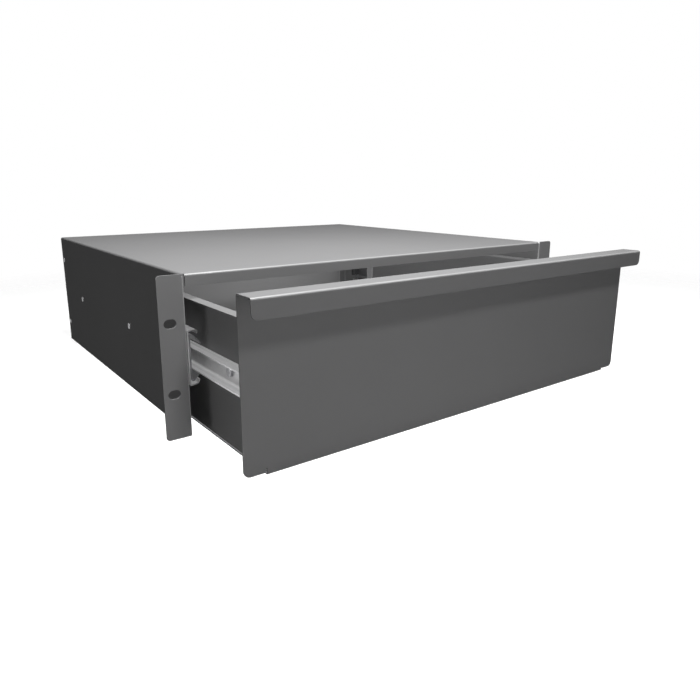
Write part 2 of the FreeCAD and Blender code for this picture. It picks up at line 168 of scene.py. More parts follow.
# ---- shared effects -------------------------------------------------------------------------
class NodeSheet:
    """A node tree with short ways to add and join its nodes."""

    def __init__(self, tree: bpy.types.NodeTree) -> None:
        """Starts with an empty tree.

        Args:
            tree: The material's or the group's tree.
        """
        self.tree = tree
        self.tree.nodes.clear()

    def add(self, kind: str, **settings: object) -> bpy.types.Node:
        """Adds a node.

        Args:
            kind: The node's type, without the ShaderNode prefix where it has one.
            settings: Values for the node's own properties.

        Returns:
            The new node.
        """
        prefix = "" if kind.startswith("NodeGroup") else "ShaderNode"
        node = self.tree.nodes.new(prefix + kind)
        for name, value in settings.items():
            setattr(node, name, value)
        return node

    def join(self, source: bpy.types.NodeSocket, target: bpy.types.NodeSocket) -> None:
        """Links an output to an input."""
        self.tree.links.new(source, target)

    def feed(self, value: Feed, target: bpy.types.NodeSocket) -> None:
        """Gives an input a link, a number or a colour.

        Args:
            value: The output to link, or the input's own value.
            target: The input.
        """
        if isinstance(value, bpy.types.NodeSocket):
            self.join(value, target)
        else:
            target.default_value = (*value, 1.0) if isinstance(value, tuple) else value

    def place(self) -> bpy.types.NodeSocket:
        """Returns the Object coordinates."""
        return self.add("TexCoord").outputs["Object"]

    def maths(self, operation: str, first: Feed, second: Feed) -> bpy.types.NodeSocket:
        """Adds a Math node.

        Args:
            operation: Blender's name for the sum.
            first: A socket or a number.
            second: A socket or a number.

        Returns:
            The node's output.
        """
        node = self.add("Math", operation=operation)
        self.feed(first, node.inputs[0])
        self.feed(second, node.inputs[1])
        return node.outputs[0]

    def ranged(
        self, value: bpy.types.NodeSocket, low: float, high: float,
        first: float = 0.0, last: float = 1.0,
    ) -> bpy.types.NodeSocket:
        """Maps a value from low..high to first..last, held at both ends.

        Args:
            value: The socket to map.
            low: The value that gives first.
            high: The value that gives last.
            first: The result at low.
            last: The result at high.

        Returns:
            The mapped value's socket.
        """
        node = self.add("MapRange")
        self.join(value, node.inputs["Value"])
        ends = {"From Min": low, "From Max": high, "To Min": first, "To Max": last}
        for name, end in ends.items():
            node.inputs[name].default_value = end
        return node.outputs["Result"]

    def noise(
        self, scale: Feed, detail: float, stretch: Triple = (1.0, 1.0, 1.0)
    ) -> bpy.types.NodeSocket:
        """Adds a noise on Object coordinates.

        Args:
            scale: Repeats a metre, a number or a socket.
            detail: Octaves.
            stretch: How much each axis is pressed together.

        Returns:
            The noise's factor.
        """
        mapping = self.add("Mapping")
        mapping.inputs["Scale"].default_value = stretch
        self.join(self.place(), mapping.inputs["Vector"])
        noise = self.add("TexNoise")
        self.feed(scale, noise.inputs["Scale"])
        noise.inputs["Detail"].default_value = detail
        self.join(mapping.outputs["Vector"], noise.inputs["Vector"])
        return noise.outputs["Fac"]

    def mixed(
        self, factor: bpy.types.NodeSocket, first: Feed, second: Feed
    ) -> bpy.types.NodeSocket:
        """Mixes two colours.

        Args:
            factor: 0 gives the first colour, 1 the second.
            first: A socket or a colour.
            second: A socket or a colour.

        Returns:
            The mixed colour's socket.
        """
        node = self.add("Mix", data_type="RGBA")
        self.join(factor, node.inputs["Factor"])
        colours = [socket for socket in node.inputs if socket.type == "RGBA"]
        for value, socket in zip((first, second), colours):
            self.feed(value, socket)
        return next(socket for socket in node.outputs if socket.type == "RGBA")

    def relief(
        self, shader: bpy.types.Node, height: bpy.types.NodeSocket, strength: float, depth: float
    ) -> None:
        """Gives a shader a fine relief.

        Args:
            shader: The shader whose normal changes.
            height: The relief's height, from 0 to 1.
            strength: How much of the relief shows.
            depth: The relief's depth in metres.
        """
        bump = self.add("Bump")
        bump.inputs["Strength"].default_value = strength
        bump.inputs["Distance"].default_value = depth
        self.join(height, bump.inputs["Height"])
        self.join(bump.outputs["Normal"], shader.inputs["Normal"])


class EffectGroup:
    """A shader node group with named inputs and outputs, built once."""

    def __init__(self, name: str, inputs: dict[str, object], outputs: dict[str, str]) -> None:
        """Makes the group's tree and its sockets.

        Args:
            name: The group's name.
            inputs: Each input's name and default: a number or a colour.
            outputs: Each output's name and socket type.
        """
        self.tree = bpy.data.node_groups.new(name, "ShaderNodeTree")
        for label, value in inputs.items():
            kind = "NodeSocketColor" if isinstance(value, tuple) else "NodeSocketFloat"
            socket = self.tree.interface.new_socket(name=label, in_out="INPUT", socket_type=kind)
            socket.default_value = (*value, 1.0) if isinstance(value, tuple) else value
        for label, kind in outputs.items():
            self.tree.interface.new_socket(name=label, in_out="OUTPUT", socket_type=kind)
        self.sheet = NodeSheet(self.tree)
        self.source = self.sheet.add("NodeGroupInput").outputs
        self.target = self.sheet.add("NodeGroupOutput").inputs

    def place(self, sheet: NodeSheet, **values: Feed) -> bpy.types.Node:
        """Places the group in a material.

        Args:
            sheet: The material's nodes.
            values: The inputs' values, with underscores for spaces.

        Returns:
            The group's node.
        """
        node = sheet.add("Group", node_tree=self.tree)
        for label, value in values.items():
            sheet.feed(value, node.inputs[label.replace("_", " ").capitalize()])
        return node


class Effects:
    """The effects that the finishes share."""

    NOISE_MIDDLE = 0.5
    PEEL_DETAIL = 2.0
    GRAIN_DETAIL = 1.0
    GRAINS_TO_PEEL = 3.7
    GRAIN_HEIGHT = 0.35
    SPECKLE_SHARE = 0.5
    COAT_CLOUDS = (9.0, 3.0)
    ROUGHNESS_DRIFT = 0.10
    PATCH_DETAIL = 4.0
    PATCH_RANGE = (0.35, 0.65)
    FINE_LINES = (2600.0, 2.0, (1.0, 0.012, 1.0))
    BROAD_LINES = (420.0, 3.0, (1.0, 0.03, 1.0))
    FINE_SHARE = 0.6
    BROAD_SHARE = 0.4
    SMUDGES = (26.0, 5.0)
    SMUDGE_RANGE = (0.52, 0.72)
    RUBS = (340.0, 2.0, (0.06, 1.0, 1.0))
    RUB_RANGE = (0.62, 0.74)
    RUB_SHARE = 0.6

    def __init__(self) -> None:
        """Builds each group once."""
        self.coat_grain = self.build_coat_grain()
        self.rim_wear = self.build_patchy_mask("rim_wear", RIM_ATTRIBUTE)
        # A painted highlight on the forward folds, masked like the wear on the rims.
        self.fold_highlight = self.build_patchy_mask("fold_highlight", FOLD_HIGHLIGHT_ATTRIBUTE)
        self.rolled_streaks = self.build_rolled_streaks()
        self.handling = self.build_handling()

    def centred(self, sheet: NodeSheet, noise: bpy.types.NodeSocket) -> bpy.types.NodeSocket:
        """Returns a noise moved down to lie around zero."""
        return sheet.maths("SUBTRACT", noise, self.NOISE_MIDDLE)

    def build_coat_grain(self) -> EffectGroup:
        """Builds the fine texture of baked powder: an orange peel with small grains on it.

        Returns:
            A group that gives a colour, a roughness and a height.
        """
        group = EffectGroup(
            "coat_grain",
            {"Colour": (0.1, 0.1, 0.1), "Roughness": 0.5, "Peel scale": 700.0, "Mottle": 0.06},
            {"Colour": "NodeSocketColor", "Roughness": "NodeSocketFloat",
             "Height": "NodeSocketFloat"},
        )
        sheet = group.sheet
        peel = sheet.noise(group.source["Peel scale"], self.PEEL_DETAIL)
        grain_scale = sheet.maths("MULTIPLY", group.source["Peel scale"], self.GRAINS_TO_PEEL)
        grain = sheet.noise(grain_scale, self.GRAIN_DETAIL)
        low_grain = sheet.maths("MULTIPLY", grain, self.GRAIN_HEIGHT)
        sheet.join(sheet.maths("ADD", peel, low_grain), group.target["Height"])

        clouds = self.centred(sheet, sheet.noise(*self.COAT_CLOUDS))
        shift = sheet.maths("MULTIPLY", clouds, group.source["Mottle"])
        speckle_gain = sheet.maths("MULTIPLY", group.source["Mottle"], self.SPECKLE_SHARE)
        speckle = sheet.maths("MULTIPLY", self.centred(sheet, grain), speckle_gain)
        gain = sheet.maths("ADD", sheet.maths("ADD", shift, speckle), 1.0)
        shade = sheet.add("VectorMath", operation="SCALE")
        sheet.join(group.source["Colour"], shade.inputs[0])
        sheet.join(gain, shade.inputs["Scale"])
        sheet.join(shade.outputs[0], group.target["Colour"])

        drift = sheet.maths("MULTIPLY", clouds, self.ROUGHNESS_DRIFT)
        rough = sheet.maths("ADD", group.source["Roughness"], drift)
        sheet.join(rough, group.target["Roughness"])
        return group

    def build_patchy_mask(self, name: str, mark: str) -> EffectGroup:
        """Builds a patchy mask along the faces that an attribute marks, for the wear on the eased
        rims and for the painted highlight on the forward folds.

        Args:
            name: The group's name.
            mark: The attribute that is 1 on the marked faces: the rims that wear, in one group, and
                the folds with the painted highlight, in the other.

        Returns:
            A group that gives a mask.
        """
        group = EffectGroup(
            name, {"Amount": 0.5, "Patchiness": 60.0, "Least": 0.15}, {"Mask": "NodeSocketFloat"}
        )
        sheet = group.sheet
        marked = sheet.add("Attribute", attribute_name=mark)
        patches = sheet.noise(group.source["Patchiness"], self.PATCH_DETAIL)
        broken = sheet.ranged(patches, *self.PATCH_RANGE)
        kept = sheet.maths("MAXIMUM", broken, group.source["Least"])
        patched = sheet.maths("MULTIPLY", marked.outputs["Fac"], kept)
        sheet.join(sheet.maths("MULTIPLY", patched, group.source["Amount"]), group.target["Mask"])
        return group

    def build_rolled_streaks(self) -> EffectGroup:
        """Builds the fine lines that rolling leaves along a rail.

        Returns:
            A group that gives a mask around 0.5.
        """
        group = EffectGroup("rolled_streaks", {"Sharpness": 0.5}, {"Mask": "NodeSocketFloat"})
        sheet = group.sheet
        fine = sheet.maths("MULTIPLY", sheet.noise(*self.FINE_LINES), self.FINE_SHARE)
        broad = sheet.maths("MULTIPLY", sheet.noise(*self.BROAD_LINES), self.BROAD_SHARE)
        lines = self.centred(sheet, sheet.maths("ADD", fine, broad))
        sharp = sheet.maths("MULTIPLY", lines, group.source["Sharpness"])
        sheet.join(sheet.maths("ADD", sharp, self.NOISE_MIDDLE), group.target["Mask"])
        return group

    def build_handling(self) -> EffectGroup:
        """Builds the faint rubs and smudges that hands leave.

        Returns:
            A group that gives a mask from 0 to 1.
        """
        group = EffectGroup("handling", {"Amount": 0.5}, {"Mask": "NodeSocketFloat"})
        sheet = group.sheet
        smudge = sheet.ranged(sheet.noise(*self.SMUDGES), *self.SMUDGE_RANGE)
        rub = sheet.ranged(sheet.noise(*self.RUBS), *self.RUB_RANGE)
        most = sheet.maths("MAXIMUM", smudge, sheet.maths("MULTIPLY", rub, self.RUB_SHARE))
        sheet.join(sheet.maths("MULTIPLY", most, group.source["Amount"]), group.target["Mask"])
        return group


# ---- finishes -------------------------------------------------------------------------------
@dataclass(frozen=True)
class Finish:
    """What all finishes have: a colour, a second colour where they age (on the powder coat also a
    painted highlight), and one shader.
    """

    name: str
    colour: Triple
    second_colour: Triple
    roughness: float

    def material(self, effects: Effects) -> bpy.types.Material:
        """Builds the finish.

        Args:
            effects: The shared effects.

        Returns:
            The material.
        """
        material = bpy.data.materials.new(self.name)
        material.use_nodes = True
        sheet = NodeSheet(material.node_tree)
        shader = sheet.add("BsdfPrincipled")
        output = sheet.add("OutputMaterial")
        sheet.join(shader.outputs[0], output.inputs["Surface"])
        self.cover(sheet, shader, effects)
        return material

    def cover(self, sheet: NodeSheet, shader: bpy.types.Node, effects: Effects) -> None:
        """Feeds the shader; each kind of finish has its own way.

        Args:
            sheet: The material's nodes.
            shader: The material's Principled shader.
            effects: The shared effects.
        """
        raise NotImplementedError


@dataclass(frozen=True)
class PowderCoat(Finish):
    """A baked grey powder coat on steel sheet."""

    flake: float
    peel_scale: float = 700.0
    peel_strength: float = 0.35
    peel_depth: float = 0.03 * MM
    mottle: float = 0.08
    rim_wear: float = 0.45
    # The next three set a painted highlight on the folds that face forwards.
    fold_highlight: float = 0.9
    highlight_patchiness: float = 14.0
    highlight_least: float = 0.8
    rim_and_fold_gloss: float = 0.12
    smudges: float = 0.35
    smudge_dulling: float = 0.09

    def cover(self, sheet: NodeSheet, shader: bpy.types.Node, effects: Effects) -> None:
        """Feeds the shader with the coat's grain, the wear on its rims, a painted highlight on its
        forward folds, and smudges.

        Args:
            sheet: The material's nodes.
            shader: The material's Principled shader.
            effects: The shared effects.
        """
        shader.inputs["Metallic"].default_value = self.flake
        shader.inputs["Specular IOR Level"].default_value = 0.0
        shader.inputs["Specular Tint"].default_value = (0.0, 0.0, 0.0, 1.0)
        grain = effects.coat_grain.place(
            sheet, colour=self.colour, roughness=self.roughness, peel_scale=self.peel_scale,
            mottle=self.mottle,
        )
        wear = effects.rim_wear.place(sheet, amount=self.rim_wear)
        hands = effects.handling.place(sheet, amount=self.smudges)
        fold_highlight_mask = effects.fold_highlight.place(
            sheet, amount=self.fold_highlight, patchiness=self.highlight_patchiness,
            least=self.highlight_least,
        )
        # The rims' wear and the painted highlight on the forward folds both mix in the lighter
        # second colour.
        bright = sheet.maths("MAXIMUM", wear.outputs["Mask"], fold_highlight_mask.outputs["Mask"])
        colour = sheet.mixed(bright, grain.outputs["Colour"], self.second_colour)
        sheet.join(colour, shader.inputs["Base Color"])
        dulled = sheet.maths("MULTIPLY", hands.outputs["Mask"], self.smudge_dulling)
        polished = sheet.maths("MULTIPLY", bright, self.rim_and_fold_gloss)
        rough = sheet.maths("ADD", grain.outputs["Roughness"], dulled)
        sheet.join(sheet.maths("SUBTRACT", rough, polished), shader.inputs["Roughness"])
        sheet.relief(shader, grain.outputs["Height"], self.peel_strength, self.peel_depth)


@dataclass(frozen=True)
class PlatedSteel(Finish):
    """Zinc-plated or bright steel, with the lines of rolling and small plating crystals."""

    metal: float = 0.67
    streaks: float = 0.8
    streak_shift: float = 0.75
    streak_strength: float = 0.4
    streak_depth: float = 0.02 * MM
    crystal_scale: float = 260.0
    crystal_share: float = 0.25
    clouds: tuple[float, float, Triple] = (30.0, 4.0, (1.0, 0.25, 1.0))
    dull_range: tuple[float, float] = (0.1, 0.75)
    bright_gloss: float = 0.05
    dull_roughness: float = 0.12
    rim_wear: float = 0.5

    def cover(self, sheet: NodeSheet, shader: bpy.types.Node, effects: Effects) -> None:
        """Feeds the shader with bright and dull plating, streaked along the rail.

        Args:
            sheet: The material's nodes.
            shader: The material's Principled shader.
            effects: The shared effects.
        """
        shader.inputs["Metallic"].default_value = self.metal
        crystals = sheet.add("TexVoronoi", feature="F1")
        crystals.inputs["Scale"].default_value = self.crystal_scale
        sheet.join(sheet.place(), crystals.inputs["Vector"])
        crystal_tone = sheet.add("RGBToBW")
        sheet.join(crystals.outputs["Color"], crystal_tone.inputs[0])
        streaks = effects.rolled_streaks.place(sheet, sharpness=self.streaks).outputs["Mask"]
        crystal_part = sheet.maths("MULTIPLY", crystal_tone.outputs[0], self.crystal_share)
        blend = sheet.maths("ADD", crystal_part, sheet.noise(*self.clouds))
        blend = sheet.maths("ADD", blend, sheet.maths("SUBTRACT", streaks, self.streak_shift))
        dull = sheet.ranged(blend, *self.dull_range)
        plating = sheet.mixed(dull, self.colour, self.second_colour)
        wear = effects.rim_wear.place(sheet, amount=self.rim_wear)
        patched = sheet.mixed(wear.outputs["Mask"], plating, self.colour)
        sheet.join(patched, shader.inputs["Base Color"])
        least = self.roughness - self.bright_gloss
        most = self.roughness + self.dull_roughness
        sheet.join(sheet.ranged(dull, 0.0, 1.0, least, most), shader.inputs["Roughness"])
        sheet.relief(shader, streaks, self.streak_strength, self.streak_depth)


@dataclass(frozen=True)
class MouldedRubber(Finish):
    """Matt black rubber with a fine moulded grain and a pale bloom."""

    grain_scale: float = 1400.0
    grain_strength: float = 0.6
    grain_depth: float = 0.1 * MM
    mottle: float = 0.2
    bloom: float = 0.5

    def cover(self, sheet: NodeSheet, shader: bpy.types.Node, effects: Effects) -> None:
        """Feeds the shader with the moulded grain and the bloom.

        Args:
            sheet: The material's nodes.
            shader: The material's Principled shader.
            effects: The shared effects.
        """
        grain = effects.coat_grain.place(
            sheet, colour=self.colour, roughness=self.roughness, peel_scale=self.grain_scale,
            mottle=self.mottle,
        )
        bloom = effects.handling.place(sheet, amount=self.bloom)
        colour = sheet.mixed(bloom.outputs["Mask"], grain.outputs["Colour"], self.second_colour)
        sheet.join(colour, shader.inputs["Base Color"])
        sheet.join(grain.outputs["Roughness"], shader.inputs["Roughness"])
        sheet.relief(shader, grain.outputs["Height"], self.grain_strength, self.grain_depth)


class FinishSet:
    """The finishes of the rack drawer, each built once."""

    def __init__(self) -> None:
        """Builds the shared effects and the materials."""
        effects = Effects()
        # The coat's second colour, 0.30, lightens the rims where the coat wears and paints the
        # highlight on the forward folds.
        coat = ((0.150, 0.150, 0.151), (0.30, 0.30, 0.30), 0.44, 0.14)
        self.case_coat = PowderCoat("case_powder_coat", *coat).material(effects)
        self.drawer_coat = PowderCoat("drawer_powder_coat", *coat).material(effects)
        self.rail_zinc = PlatedSteel(
            "rail_zinc_plate", (0.47, 0.47, 0.473), (0.36, 0.36, 0.363), 0.36
        ).material(effects)
        # The middle rail gets a darker copy of the rail zinc: painted shade for the rail that sits
        # deep between the case and drawer rails.
        self.shaded_middle_zinc = PlatedSteel(
            "middle_rail_shaded_zinc", (0.20, 0.20, 0.205), (0.14, 0.14, 0.145), 0.38
        ).material(effects)
        self.screw_zinc = PlatedSteel(
            "screw_zinc_plate", (0.34, 0.34, 0.35), (0.22, 0.22, 0.23), 0.32, 0.85, streaks=0.3
        ).material(effects)
        # The case screws get a darker copy of the screw zinc: painted shade for the screws on the
        # case's dim sides.
        self.shaded_case_screw_zinc = PlatedSteel(
            "case_screw_shaded_zinc", (0.19, 0.19, 0.195), (0.11, 0.11, 0.115), 0.30, 0.85,
            streaks=0.3,
        ).material(effects)
        self.cage_steel = PlatedSteel(
            "cage_bright_steel", (0.52, 0.52, 0.53), (0.33, 0.33, 0.34), 0.36
        ).material(effects)
        self.ball_steel = PlatedSteel(
            "ball_polished_steel", (0.72, 0.72, 0.73), (0.60, 0.60, 0.61), 0.12, streaks=0.1
        ).material(effects)
        self.buffer_rubber = MouldedRubber(
            "buffer_black_rubber", (0.018, 0.018, 0.019), (0.05, 0.05, 0.052), 0.72
        ).material(effects)


# ---- sheet parts with eased edges -----------------------------------------------------------
@dataclass
class EasedSheet:
    """A pressed or folded sheet part whose edges carry the small radius that coating leaves."""

    node: str
    body: str
    slot: str
    ease: float = 0.18 * MM
    ease_segments: int = 2
    merge: float = 0.008 * MM
    flat_angle: float = math.radians(0.4)
    edge_angle: float = math.radians(38.0)
    smooth_angle: float = math.radians(34.0)
    normal_weight: int = 80
    full_turn: float = 0.25
    front_facing: float = -0.2

    def build(self, material: bpy.types.Material) -> bpy.types.Object:
        """Builds the part over its CAD node.

        Args:
            material: The part's finish.

        Returns:
            The new piece, which stands for the node.
        """
        piece = bpy.data.objects.new(self.node + "_eased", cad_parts[self.node].data.copy())
        bpy.context.scene.collection.objects.link(piece)
        self.close_sheet(piece)
        dressed(piece, material)
        piece.data.materials.append(material)
        apply_modifier(
            piece, "BEVEL", width=self.ease, segments=self.ease_segments, limit_method="ANGLE",
            angle_limit=self.edge_angle, material=1, use_clamp_overlap=True, loop_slide=True,
        )
        self.mark_rims(piece)
        self.mark_fold_highlights(piece)
        only(piece)
        bpy.ops.object.shade_smooth_by_angle(angle=self.smooth_angle, keep_sharp_edges=False)
        apply_modifier(piece, "WEIGHTED_NORMAL", keep_sharp=True, weight=self.normal_weight)
        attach(piece, self.body)
        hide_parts(self.node)
        faces = len(piece.data.polygons)
        log.info("%s: %d faces, edges eased by %.2f mm", piece.name, faces, self.ease / MM)
        return piece

    def close_sheet(self, piece: bpy.types.Object) -> None:
        """Merges the loose triangles and turns flat areas back into whole faces.

        Args:
            piece: The copy of the CAD mesh.
        """
        only(piece)
        bpy.ops.object.mode_set(mode="EDIT")
        bpy.ops.mesh.select_all(action="SELECT")
        bpy.ops.mesh.customdata_custom_splitnormals_clear()
        bpy.ops.mesh.remove_doubles(threshold=self.merge)
        bpy.ops.mesh.dissolve_limited(angle_limit=self.flat_angle)
        bpy.ops.object.mode_set(mode="OBJECT")

    @staticmethod
    def mark_rims(piece: bpy.types.Object) -> None:
        """Writes 1 on the eased edges' faces and 0 elsewhere, for the wear.

        Args:
            piece: The part, whose eased edges have the second material so far.
        """
        faces = piece.data.polygons
        rims = [float(face.material_index == 1) for face in faces]
        attribute = piece.data.attributes.new(RIM_ATTRIBUTE, "FLOAT", "FACE")
        attribute.data.foreach_set("value", rims)
        faces.foreach_set("material_index", [0] * len(faces))
        piece.data.materials.pop(index=1)

    def mark_fold_highlights(self, piece: bpy.types.Object) -> None:
        """Writes how far each face turns between two axes on the folds that face forwards, as the
        mask of their painted highlight.

        Args:
            piece: The part.
        """
        turns = []
        for face in piece.data.polygons:
            most = max(abs(part) for part in face.normal)
            turn = min(1.0, max(0.0, (1.0 - most) / self.full_turn))
            # Only folds that face the front lamps get the painted highlight.
            turns.append(turn if face.normal.y < self.front_facing else 0.0)
        attribute = piece.data.attributes.new(FOLD_HIGHLIGHT_ATTRIBUTE, "FLOAT", "FACE")
        attribute.data.foreach_set("value", turns)


# ---- fasteners ------------------------------------------------------------------------------
@dataclass
class PanScrew:
    """A cross-recessed pan head screw, its head's underside at the origin and its head along +Z."""

    head_radius: float
    head_height: float
    shank_length: float
    shank_radius: float = 2.0 * MM
    recess_width: float = 0.85 * MM
    recess_reach: float = 0.62
    recess_depth: float = 0.75
    recess_taper: float = 0.45
    dome_share: float = 0.62
    dome_segments: int = 5
    end_bevel: float = 0.3 * MM
    end_angle: float = math.radians(60.0)
    sides: int = 40

    def build(self) -> bpy.types.Object:
        """Builds one screw.

        Returns:
            The screw as one object.
        """
        head = self.domed_head()
        self.cut_recess(head)
        shank = self.shank()
        return joined([head, shank], "pan_screw")

    def domed_head(self) -> bpy.types.Object:
        """Builds the head, its top edge rolled over.

        Returns:
            The head.
        """
        only_nothing()
        bpy.ops.mesh.primitive_cylinder_add(
            vertices=self.sides, radius=self.head_radius, depth=self.head_height,
            location=(0, 0, self.head_height / 2),
        )
        head = bpy.context.active_object
        settle(head)
        bpy.ops.object.mode_set(mode="EDIT")
        shape = bmesh.from_edit_mesh(head.data)
        for face in shape.faces:
            face.select_set(all(vertex.co.z > self.head_height / 2 for vertex in face.verts))
        bmesh.update_edit_mesh(head.data)
        bpy.ops.mesh.bevel(
            offset=self.head_height * self.dome_share, offset_type="OFFSET",
            segments=self.dome_segments, affect="EDGES", clamp_overlap=True,
        )
        bpy.ops.object.mode_set(mode="OBJECT")
        return head

    def cut_recess(self, head: bpy.types.Object) -> None:
        """Cuts the driver's cross into the head.

        Args:
            head: The head to cut.
        """
        reach = self.head_radius * self.recess_reach
        deep = self.head_height * self.recess_depth
        for turn in (0.0, math.pi / 2):
            only_nothing()
            bpy.ops.mesh.primitive_cube_add(size=1.0, location=(0, 0, self.head_height))
            cutter = bpy.context.active_object
            cutter.scale = (2 * reach, self.recess_width, 2 * deep)
            cutter.rotation_euler = (0, 0, turn)
            settle(cutter)
            self.taper(cutter)
            apply_modifier(head, "BOOLEAN", operation="DIFFERENCE", object=cutter, solver="EXACT")
            bpy.data.objects.remove(cutter)

    def taper(self, cutter: bpy.types.Object) -> None:
        """Draws the cutter's lower end in, as a driver's tip is.

        Args:
            cutter: The cutter, straight so far.
        """
        only(cutter)
        bpy.ops.object.mode_set(mode="EDIT")
        shape = bmesh.from_edit_mesh(cutter.data)
        for face in shape.faces:
            face.select_set(face.normal.z < -FACING)
        bmesh.update_edit_mesh(cutter.data)
        bpy.ops.transform.resize(value=(self.recess_taper, self.recess_taper, 1.0))
        bpy.ops.object.mode_set(mode="OBJECT")

    def shank(self) -> bpy.types.Object:
        """Builds the shank with its end bevelled.

        Returns:
            The shank.
        """
        only_nothing()
        bpy.ops.mesh.primitive_cylinder_add(
            vertices=self.sides // 2, radius=self.shank_radius, depth=self.shank_length,
            location=(0, 0, -self.shank_length / 2),
        )
        shank = bpy.context.active_object
        settle(shank)
        apply_modifier(
            shank, "BEVEL", width=self.end_bevel, segments=2, limit_method="ANGLE",
            angle_limit=self.end_angle,
        )
        return shank


@dataclass
class ScrewSet:
    """The screws of one CAD node: the same rows on both sides of the rack drawer."""

    node: str
    body: str
    pattern: PanScrew
    columns: tuple[float, ...]
    rises: tuple[float, ...]
    seat: float
    turns: tuple[float, ...] = (17.0, 64.0, 41.0, 8.0, 73.0, 29.0)
    smooth_angle: float = math.radians(32.0)

    def build(self, material: bpy.types.Material) -> bpy.types.Object:
        """Builds the set.

        Args:
            material: The screws' plating.

        Returns:
            The screws as one piece.
        """
        first = self.pattern.build()
        screws = []
        for side in Side:
            for column in self.columns:
                for rise in self.rises:
                    place = self.place(side, column, rise, len(screws))
                    screws.append(placed_copy(first, place))
        bpy.data.objects.remove(first)
        whole = joined(screws, self.node + "_cross_recessed")
        dressed(whole, material)
        only(whole)
        bpy.ops.object.shade_smooth_by_angle(angle=self.smooth_angle)
        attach(whole, self.body)
        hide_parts(self.node)
        log.info("%s: %d screws", whole.name, len(screws))
        return whole

    def place(self, side: Side, column: float, rise: float, index: int) -> Matrix:
        """Finds one screw's place, its head outwards and its cross turned its own way.

        Args:
            side: The side of the rack drawer.
            column: The place along Y.
            rise: The place along Z.
            index: The screw's number, which picks its turn.

        Returns:
            The move from the first screw's place.
        """
        own = Matrix.Rotation(math.radians(self.turns[index % len(self.turns)]), 4, "Z")
        outward = Matrix.Rotation(side.value * math.pi / 2, 4, "Y")
        return Matrix.Translation((side.value * self.seat, column, rise)) @ outward @ own


# ---- balls ----------------------------------------------------------------------------------
@dataclass
class BallRows:
    """The two rows of balls between two slide members.

    The CAD balls have eight flat sides, so their box lies a little inside the round balls.
    """

    node: str
    body: str
    radius: float = 1.985 * MM
    box_share: float = math.cos(math.pi / 8)
    count: int = 4
    subdivisions: int = 3

    def build(self, material: bpy.types.Material) -> bpy.types.Object:
        """Builds the rows where the CAD balls lie.

        Args:
            material: The balls' polished steel.

        Returns:
            The balls as one piece.
        """
        low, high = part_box(self.node)
        reach = self.radius * self.box_share
        step = (high.y - low.y - 2 * reach) / (self.count - 1)
        only_nothing()
        bpy.ops.mesh.primitive_ico_sphere_add(
            subdivisions=self.subdivisions, radius=self.radius, location=(0, 0, 0)
        )
        first = bpy.context.active_object
        balls = []
        for rise in (low.z + reach, high.z - reach):
            for index in range(self.count):
                centre = ((low.x + high.x) / 2, low.y + reach + index * step, rise)
                balls.append(placed_copy(first, Matrix.Translation(centre)))
        bpy.data.objects.remove(first)
        whole = joined(balls, self.node + "_round")
        dressed(whole, material)
        only(whole)
        bpy.ops.object.shade_smooth()
        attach(whole, self.body)
        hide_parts(self.node)
        log.info("%s: %d balls", whole.name, len(balls))
        return whole


# ---- sub-assemblies -------------------------------------------------------------------------
@dataclass
class RackCase:
    """The folded case with its rack ears, its rear panel and the screws in its sides."""

    half_width: float = 220.8 * MM
    sheet: float = 1.2 * MM
    rail_sheet: float = 1.1 * MM
    head_radius: float = 2.8 * MM
    head_height: float = 0.5 * MM
    screw_tail: float = 1.0 * MM

    def build(self, finishes: FinishSet) -> None:
        """Builds the case.

        Args:
            finishes: The rack drawer's finishes.
        """
        for node in ("case_shell", "rear_panel"):
            EasedSheet(node, "case", "case_coat").build(finishes.case_coat)
        shanks = {
            "rear_panel_screws": 2 * self.sheet + self.screw_tail,
            "case_rail_screws": self.sheet + self.rail_sheet,
        }
        for node, length in shanks.items():
            self.wall_screws(node, length).build(finishes.shaded_case_screw_zinc)

    def wall_screws(self, node: str, shank_length: float) -> ScrewSet:
        """Finds a set of screws in the case's sides from its CAD node.

        Args:
            node: The CAD node.
            shank_length: How far the screws reach inwards.

        Returns:
            The set, not built yet.
        """
        low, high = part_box(node)
        columns, rises = self.rows(low.y, high.y), self.rows(low.z, high.z)
        pattern = PanScrew(self.head_radius, self.head_height, shank_length)
        return ScrewSet(node, "case", pattern, columns, rises, self.half_width)

    def rows(self, low: float, high: float) -> tuple[float, ...]:
        """Finds where the screws lie between the ends of their box.

        Args:
            low: The box's lower end along one axis.
            high: The box's upper end along it.

        Returns:
            Two places, or the middle where the box is one head wide.
        """
        near, far = low + self.head_radius, high - self.head_radius
        return (near, far) if far - near > self.head_radius else ((near + far) / 2,)


@dataclass
class DrawerBox:
    """The folded drawer with its hooked front, its side channels and the screws of its rails."""

    rail_web_inside: float = 208.0 * MM
    head_radius: float = 3.8 * MM
    head_height: float = 2.0 * MM
    shank_length: float = 3.3 * MM
    middle_share: float = 0.5

    def build(self, finishes: FinishSet) -> None:
        """Builds the drawer.

        Args:
            finishes: The rack drawer's finishes.
        """
        sides = [side.node("drawer_side") for side in Side]
        for node in ("drawer_tray", *sides):
            EasedSheet(node, "drawer", "drawer_coat").build(finishes.drawer_coat)
        self.rail_screws().build(finishes.screw_zinc)

    def rail_screws(self) -> ScrewSet:
        """Finds the drawer rails' screws from their CAD node.

        Returns:
            The set, not built yet.
        """
        low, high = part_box("drawer_rail_screws")
        near, far = low.y + self.head_radius, high.y - self.head_radius
        middle = near + (far - near) * self.middle_share
        rise = (low.z + high.z) / 2
        pattern = PanScrew(self.head_radius, self.head_height, self.shank_length)
        return ScrewSet(
            "drawer_rail_screws", "drawer", pattern, (near, middle, far), (rise,),
            self.rail_web_inside,
        )


